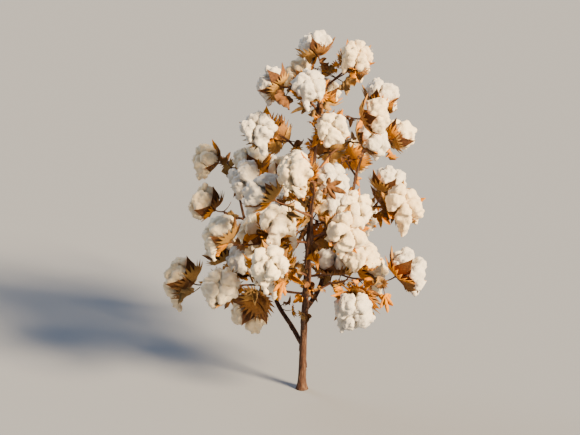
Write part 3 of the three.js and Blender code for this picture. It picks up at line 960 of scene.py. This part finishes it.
def remeshed(points, faces):
    """One smooth skin round overlapping lumps: its points, normals and quads."""
    mesh = bpy.data.meshes.new("lumps")
    mesh.from_pydata(points.tolist(), [], faces.tolist())
    lumps = new_object("lumps", mesh)
    skin = lumps.modifiers.new("skin", "REMESH")
    skin.mode = "VOXEL"
    skin.voxel_size = VOXEL
    soften = lumps.modifiers.new("soften", "SMOOTH")
    soften.iterations = SMOOTHING_ROUNDS
    made = lumps.evaluated_get(bpy.context.evaluated_depsgraph_get()).data
    skinned = read(made.vertices, "co", 3).reshape(-1, 3).astype(float)
    normals = read(made.vertex_normals, "vector", 3).reshape(-1, 3)
    quads = read(made.loops, "vertex_index", 1, np.int32).reshape(-1, 4)
    bpy.data.objects.remove(lumps)
    bpy.data.meshes.remove(mesh)
    return skinned, normals, quads


def lock_skin(boll, lock, valves, organs, random):
    """Skin of one lock: points, outward directions and quads."""
    ball_points, ball_faces = BALL
    points, faces = [], []
    for place, radius in lock_lumps(boll, lock, organs, random):
        faces.append(ball_faces + len(points) * len(ball_points))
        points.append((ball_points * radius + place) * boll.reach)
    skin, normals, quads = remeshed(np.concatenate(points), np.concatenate(faces))
    for wavelength, height in BILLOWS:
        puff = np.abs(noise_at(skin, wavelength, boll.turn * BILLOW_STRIDE + lock))
        skin = skin + normals * (height * (puff - BILLOW_LEVEL))[:, None]
    return kept_off(boll, valves, boll.centre + skin, SEAT.lint, 1), normals, quads


def add_fibres(heap, skin, normals, random, kind):
    """Loose ends of lint: thin bent cones that lie along the skin and curl off it to a point."""
    picks = random.integers(len(skin), size=FIBRES_PER_LOCK)
    outs = normals[picks]
    starts = skin[picks] - outs * FIBRE.sink
    ways = outs * FIBRE.out + random.normal(size=outs.shape) * FIBRE.stray - UP * FIBRE.down
    ways /= lengths(ways)[:, None]
    bends = random.normal(size=outs.shape) * FIBRE.bend - outs * FIBRE.back
    length = random.uniform(*FIBRE.lengths, size=len(picks))[:, None]
    first = np.cross(ways, bends)
    first *= FIBRE.radius / lengths(first)[:, None]
    other = np.cross(ways, first)
    rows = []
    for share, width in FIBRE.rows:
        middle = starts + (ways * share + bends * share ** 2) * length
        for side in range(FIBRE.sides):
            angle = side * TURN / FIBRE.sides
            rows.append(middle + (first * cos(angle) + other * sin(angle)) * width)
    rows.append(starts + (ways + bends) * length)
    heap.add(np.stack(rows, axis=1), *fibre_faces(len(picks)), kind=kind)


def fibre_faces(count):
    """Quads round each of some fibres, and the triangles at its root and its point."""
    sides = range(FIBRE.sides)
    ring = (len(FIBRE.rows) - 1) * FIBRE.sides
    tip = ring + FIBRE.sides
    point = [(ring + side, ring + (side + 1) % FIBRE.sides, tip) for side in sides]
    blocks = grid_faces(len(FIBRE.rows), FIBRE.sides, True), np.array([sides[::-1], *point])
    shift = (np.arange(count) * (tip + 1))[:, None, None]
    return [(block + shift).reshape(-1, block.shape[1]) for block in blocks]


def bezier(points, shares):
    first, second, third, fourth = (np.array(point, float) for point in points)
    rest = 1 - shares[:, None]
    share = shares[:, None]
    return (rest ** 3 * first + 3 * rest ** 2 * share * second
            + 3 * rest * share ** 2 * third + share ** 3 * fourth)


def plan_valves(boll, random):
    """Where each valve of the bur lies: its middle line, its width and its curl along that."""
    shares = np.linspace(0, 1, VALVE.rows)
    wide = VALVE.width * mix(*VALVE.widening, tan(pi / boll.locks))
    outline = np.interp(shares, *zip(*VALVE.outline))
    valves = []
    for valve in range(boll.locks):
        line = bezier(VALVE.line, shares)
        valves.append(Group(
            azimuth=boll.turn + (valve + 0.5) * TURN / boll.locks,
            outward=line[:, 0] * mix(*VALVE.opening, boll.opened),
            front=line[:, 1] + random.normal() * VALVE.lift * shares,
            widths=wide * outline,
            curls=mix(*VALVE.curls, shares) * outline,
            skews=random.normal() * VALVE.skew * outline,
        ))
    return valves


def valve_front(valve, outward, sideways):
    """How far forward a valve's inner face lies at given places, and how far it covers them."""
    width, front, curl, skew = (
        np.interp(outward, valve.outward, measure)
        for measure in (valve.widths, valve.front, valve.curls, valve.skews)
    )
    column = np.clip(sideways / width, -1, 1)
    beside = 1 - (np.abs(sideways) - width) / VALVE.margin
    beyond = 1 - (outward - valve.outward[-1]) / VALVE.margin
    covered = np.clip(np.minimum(beside, beyond), 0, 1) * (outward > valve.outward[0])
    return front + curl * column ** 2 + skew * column, covered


def kept_off(boll, valves, points, seat, way):
    """Points moved along the axis until no valve cuts them: lint forward, and bracts back."""
    flat = points.reshape(-1, 3)
    for valve in valves:
        out, across = across_at(boll, valve.azimuth)
        offset = (flat - boll.centre) / boll.reach
        front, covered = valve_front(valve, offset @ out, offset @ across)
        lacking = np.maximum(0, way * (front + seat - offset @ boll.axis))
        flat = flat + (way * covered * lacking)[:, None] * boll.axis * boll.reach
    return flat.reshape(points.shape)


def kept_outside(boll, lint, points):
    """Bracts lie round the lint: points moved out from the centre until it is inside them."""
    flat = (points.reshape(-1, 3) - boll.centre) / boll.reach
    skin = (lint - boll.centre) / boll.reach
    depths, heights = lengths(flat), lengths(skin)
    close = (flat / depths[:, None]) @ (skin / heights[:, None]).T > SEAT.cover
    tops = np.where(close, np.minimum(heights, SEAT.edge)[None, :], 0).max(axis=1)
    wanted = np.where(tops > 0, tops + SEAT.gap, 0)
    flat = flat * np.maximum(1, wanted / depths)[:, None]
    return (boll.centre + flat * boll.reach).reshape(points.shape)


def add_valve(heap, boll, valve, random):
    """One valve of the bur: a pointed boat with a thin partition along its inner face."""
    columns = np.array(VALVE.columns, float)[None, :]
    share = np.linspace(0, 1, VALVE.rows)[:, None]
    outward, sideways = valve.outward[:, None], columns * valve.widths[:, None]
    front, curls, skews = valve.front[:, None], valve.curls[:, None], valve.skews[:, None]
    front = front + curls * columns ** 2 + skews * columns
    ridge = VALVE.ridge_height * np.exp(-(columns / VALVE.ridge_width) ** 2)
    thick = VALVE.thickness * (1 - VALVE.thinning * share)
    inner = placed(boll, valve.azimuth, outward, sideways, front + ridge * np.sin(pi * share))
    outer = placed(boll, valve.azimuth, outward, sideways * VALVE.back_width, front - thick)
    points, faces, inner_count = shell(inner, outer)
    sides = np.where(np.arange(len(faces)) < inner_count, INSIDE, OUTSIDE)
    pair = random.integers(len(BUR_TINTS) // 2)
    heap.add(points, faces, kind=sides + 2 * pair)


def add_receptacle(heap, boll):
    """The knob at the end of the stalk that carries the bur and the bracts."""
    back = boll.centre + boll.axis * BOLL.back * boll.reach
    path = [back + boll.axis * along * boll.reach for along, _ in RECEPTACLE_ROWS]
    radii = [radius * boll.reach for _, radius in RECEPTACLE_ROWS]
    add_tube(heap, path, radii, RECEPTACLE_SIDES, kind=OUTSIDE)


def add_blade(heap, upper, lower, tints, random):
    points, faces, _ = shell(upper, lower)
    heap.add(points, faces, kind=random.integers(len(tints)))


def bent_blade(along, start, lean, curl):
    """Outward and forward measures of a blade that leaves its root at a lean and curls evenly."""
    turned = lean + curl * along
    outward = start[0] + (np.sin(turned) - sin(lean)) / curl
    return outward, start[1] + (cos(lean) - np.cos(turned)) / curl


def add_bract(heap, boll, azimuth, random, form=BRACT, valves=(), lint=None):
    """A dry bract: a heart-shaped blade with long teeth, curled round or away from the bur."""
    spokes = np.arange(2 * form.teeth + 1)
    angles = np.linspace(-BRACT.spread, BRACT.spread, len(spokes))[None, :]
    jags = np.where(spokes % 2, 1.0, BRACT.valley)[None, :]
    rows = np.array(form.rows)[:, None]
    heart = BRACT.shoulder + BRACT.crown * np.cos(angles)
    spread = rows * np.where(rows == 1, jags, 1) * heart
    size = draw(random.random, BRACT.lengths)
    along = size * spread * np.cos(angles * BRACT.narrowing)
    sideways = size * spread * np.sin(angles) * BRACT.width
    curl = draw(random.random, BRACT.curls)
    outward, front = bent_blade(along, BRACT.root, draw(random.random, BRACT.leans), curl)
    ruffle = BRACT.ruffle * np.sin(angles * BRACT.waves + random.random() * SHIFT) * rows ** 2
    ribs = BRACT.ribs * np.where(spokes % 2, -1, 1)[None, :] * rows
    cup = BRACT.cup * sideways ** 2 / size
    upper = placed(boll, azimuth, outward, sideways, front + ruffle + ribs + cup)
    if lint is not None:
        upper = kept_off(boll, valves, kept_outside(boll, lint, upper), -SEAT.bract, -1)
    lower = upper - boll.axis * BRACT.thickness * boll.reach
    add_blade(heap, upper, lower, BRACT_TINTS, random)


def add_leaf(heap, leaf, random, form=LEAF):
    """A dead leaf: pointed lobes from the end of its stalk, crumpled, with rolled edges."""
    angles = np.linspace(-LEAF.spread, LEAF.spread, form.lobes * form.columns + 1)[None, :]
    place = angles / LEAF.spread * form.lobes / 2
    lobe = 1 - 2 * np.abs(place - np.round(place))
    side_lobes = (np.abs(angles) / LEAF.spread) ** LEAF.side_fade
    size = LEAF.length * mix(LEAF.notch, 1, lobe ** LEAF.point) * mix(1, LEAF.side, side_lobes)
    rows = np.linspace(LEAF.heel, 1, form.rows)[:, None]
    radius = rows * size
    fold = draw(random.random, LEAF.folds)
    reach = radius * np.cos(angles * LEAF.narrowing)
    sideways = radius * np.sin(angles) * fold
    along, rise = bent_blade(reach, LEAF.root, LEAF.lean, draw(random.random, LEAF.curls))
    pleats = LEAF.pleats * (lobe ** 0.5 - LEAF.pleat_level) * rows
    crumples = crumpled(rows, angles, reach, sideways, random.random(3) * SHIFT)
    rolled = LEAF.roll * np.clip(rows - LEAF.roll_start, 0, 1) ** 2 * (LEAF.roll_reach - lobe)
    rise = rise + (1 - fold) * LEAF.fold_rise * np.abs(sideways) + crumples - pleats + rolled
    gathered = sideways * (1 - LEAF.gather * rows ** 3)
    upper = placed(leaf, leaf.turn, rise, gathered, along)
    lower = placed(leaf, leaf.turn, rise - LEAF.thickness, gathered, along)
    add_blade(heap, upper, lower, LEAF_TINTS, random)


def crumpled(rows, angles, reach, sideways, phases):
    """How far a dry leaf's waves raise it."""
    waves = 0
    for (height, around, along, across, growth), phase in zip(CRUMPLES, phases):
        place = angles * around + reach * along + sideways * across + phase
        waves = waves + height * np.sin(place) * rows ** growth
    return waves


def node_group(name):
    """The name of the lint piece that a branch's bolls go into."""
    if name.startswith("side_stem"):
        return "side_" + name.split("_")[2]
    if name == "stem_tip":
        return "high"
    number = int(name.split("_")[-1])
    return "low" if number <= LAST_LOW else "middle" if number <= LAST_MIDDLE else "high"


def set_inputs(node, **settings):
    for key, value in settings.items():
        node.inputs[key.replace("_", " ")].default_value = value


def new_node(material, kind, **settings):
    node = material.node_tree.nodes.new(kind)
    set_inputs(node, **settings)
    return node


def link(material, output, socket):
    material.node_tree.links.new(output, socket)


def principled(name, **settings):
    """A new material and its shader."""
    material = bpy.data.materials.new(name)
    material.use_nodes = True
    shader = material.node_tree.nodes["Principled BSDF"]
    set_inputs(shader, **settings)
    return material, shader


def noise_node(material, scale, stretch=(1, 1, 1), detail=4.0, roughness=0.55):
    """Noise in the plant's own measures, in features for each metre."""
    place = new_node(material, "ShaderNodeTexCoord")
    mapping = new_node(material, "ShaderNodeMapping", Scale=stretch)
    texture = new_node(
        material, "ShaderNodeTexNoise", Scale=scale, Detail=detail, Roughness=roughness)
    link(material, place.outputs["Object"], mapping.inputs["Vector"])
    link(material, mapping.outputs["Vector"], texture.inputs["Vector"])
    return texture


def add_tint(material, shader, texture, colours):
    """Colours dealt out evenly over the middle of a noise's range."""
    ramp = new_node(material, "ShaderNodeValToRGB")
    elements = ramp.color_ramp.elements
    while len(elements) < len(colours):
        elements.new(0.5)
    for index, colour in enumerate(colours):
        elements[index].position = mix(*TINT_RANGE, index / (len(colours) - 1))
        elements[index].color = (*colour, 1)
    link(material, texture.outputs["Fac"], ramp.inputs["Fac"])
    link(material, ramp.outputs["Color"], shader.inputs["Base Color"])


def add_bump(material, shader, texture, strength, depth):
    bump = new_node(material, "ShaderNodeBump", Strength=strength, Distance=depth)
    link(material, texture.outputs["Fac"], bump.inputs["Height"])
    link(material, bump.outputs["Normal"], shader.inputs["Normal"])


def lint_material(name, light, dark):
    material, shader = principled(
        name, Roughness=0.95, Specular_IOR_Level=0.2, Sheen_Weight=0.35, Sheen_Roughness=0.6,
        Subsurface_Weight=0.2, Subsurface_Scale=0.003, Subsurface_Radius=(1.0, 0.85, 0.7))
    add_tint(material, shader, noise_node(material, 160), (dark, light))
    fluff = noise_node(material, 700, stretch=(1, 1, 0.5), detail=8.0, roughness=0.72)
    set_inputs(fluff, Distortion=0.5)
    add_bump(material, shader, fluff, 0.7, 0.0018)
    return material


def dry_material(
    name, scale, *colours, stretch=(1, 1, 1), roughness=0.8, bump=0.5, depth=0.0008,
):
    material, shader = principled(name, Roughness=roughness, Specular_IOR_Level=0.2)
    pattern = noise_node(material, scale, stretch, detail=6.0, roughness=0.6)
    add_tint(material, shader, pattern, colours)
    grain = noise_node(material, scale * GRAIN_FINENESS, stretch, detail=5.0, roughness=0.65)
    add_bump(material, shader, grain, bump, depth)
    return material


def dry_materials(tints):
    return [dry_material(*tint) for tint in tints]


def build_limbs(boughs, branches):
    bark = dry_material(*STEM_BARK, stretch=(1, 1, 0.16), roughness=0.85, bump=0.9, depth=0.0012)
    heap = Heap("main_stem_bark")
    add_stem(heap)
    heap.piece([bark], "bark", ["main_stem"])
    for bough in boughs:
        heap = Heap(f"{bough.name}_bark")
        add_bough(heap, bough, branches)
        heap.piece([bark], "bark", [bough.name])


def add_boll(boll, lint, heaps, organs, random, loose):
    """One open boll: its lint with loose fibres, its bur, and its bracts."""
    tint = random.integers(len(LINT_TINTS))
    valves = plan_valves(boll, random)
    skins = []
    for lock in range(boll.locks):
        skin, normals, quads = lock_skin(boll, lock, valves, organs, random)
        skins.append(skin)
        lint.add(skin, quads, kind=tint)
        add_fibres(heaps.lint_fibres, skin, normals, loose, tint)
    add_receptacle(heaps.burs, boll)
    for valve in valves:
        add_valve(heaps.burs, boll, valve, random)
    for bract in range(BRACT.count):
        azimuth = boll.turn + BRACT.turn + bract * TURN / BRACT.count
        add_bract(heaps.bracts, boll, azimuth, random, BRACT, valves, np.concatenate(skins))


def build_plant():
    boughs, branches = plan_plant()
    build_limbs(boughs, branches)
    random = np.random.default_rng(SEED)
    loose = np.random.default_rng(SEED)
    names = ("twigs", "burs", "bracts", "dead_leaves", "lint_fibres")
    heaps = Group(**{name: Heap(name) for name in names})
    add_spurs(heaps, boughs, branches, random)
    lint, lint_nodes = {}, {}
    organs = [organ for branch in branches for organ in branch.organs]
    for branch in branches:
        add_twig(heaps.twigs, branch, random)
        group = node_group(branch.name)
        heap = lint.setdefault(group, Heap(f"lint_{group}"))
        lint_nodes.setdefault(group, []).append(branch.name)
        for organ in branch.organs:
            add_stalk(heaps.twigs, organ, random)
            if organ.kind == "leaf":
                add_leaf(heaps.dead_leaves, organ, random)
            else:
                add_boll(organ, heap, heaps, organs, random, loose)

    lint_materials = [lint_material(*tint) for tint in LINT_TINTS]
    for group, heap in lint.items():
        heap.piece(lint_materials, "lint", lint_nodes[group])
    heaps.lint_fibres.piece(lint_materials, "lint")
    twig_bark = dry_material(*TWIG_BARK, stretch=(1, 1, 0.5), roughness=0.75)
    heaps.twigs.piece([twig_bark], "bark", [branch.name for branch in branches])
    heaps.burs.piece(dry_materials(BUR_TINTS), "bark")
    heaps.bracts.piece(dry_materials(BRACT_TINTS), "bark")
    heaps.dead_leaves.piece(dry_materials(LEAF_TINTS), "bark")


def add_sun(name, sun):
    """Light that falls evenly from one side, as from a large far lamp."""
    lamp = bpy.data.lights.new(name, "SUN")
    lamp.energy = sun.power
    lamp.color = sun.colour
    lamp.angle = sun.softness
    light = new_object(name, lamp)
    light.rotation_euler = Vector(sun.source).to_track_quat("Z", "Y").to_euler()


def build_stage():
    """A pale floor, a warm key from the front right, a weak light behind and a cool fill."""
    size = FLOOR.size / 2
    floor_mesh = bpy.data.meshes.new("floor")
    corners = [(-size, -size, 0), (size, -size, 0), (size, size, 0), (-size, size, 0)]
    floor_mesh.from_pydata(corners, [], [(0, 1, 2, 3)])
    material, shader = principled(
        "floor", Roughness=1.0, Specular_IOR_Level=0.0, Base_Color=(*FLOOR.colour, 1))
    add_bump(material, shader, noise_node(material, 220), 0.1, 0.001)
    floor_mesh.materials.append(material)
    floor = new_object("floor", floor_mesh)
    world = bpy.data.worlds.new("studio")
    world.use_nodes = True
    background = world.node_tree.nodes["Background"]
    set_inputs(background, Color=(*FILL.colour, 1), Strength=FILL.strength)
    bpy.context.scene.world = world
    add_sun("key", KEY)
    add_sun("back", BACK)


def build_camera():
    low, high = cad_box
    middle = (Vector(low) + Vector(high)) / 2
    lens = bpy.data.cameras.new("camera")
    lens.lens = CAMERA.lens
    lens.clip_end = CAMERA.sight
    camera = new_object("camera", lens)
    back = Vector((0, -cos(CAMERA.elevation), sin(CAMERA.elevation)))
    camera.location = middle + back * CAMERA.distance
    camera.rotation_euler = (-back).to_track_quat("-Z", "Y").to_euler()
    bpy.context.scene.camera = camera


build_camera()
build_stage()
build_plant()
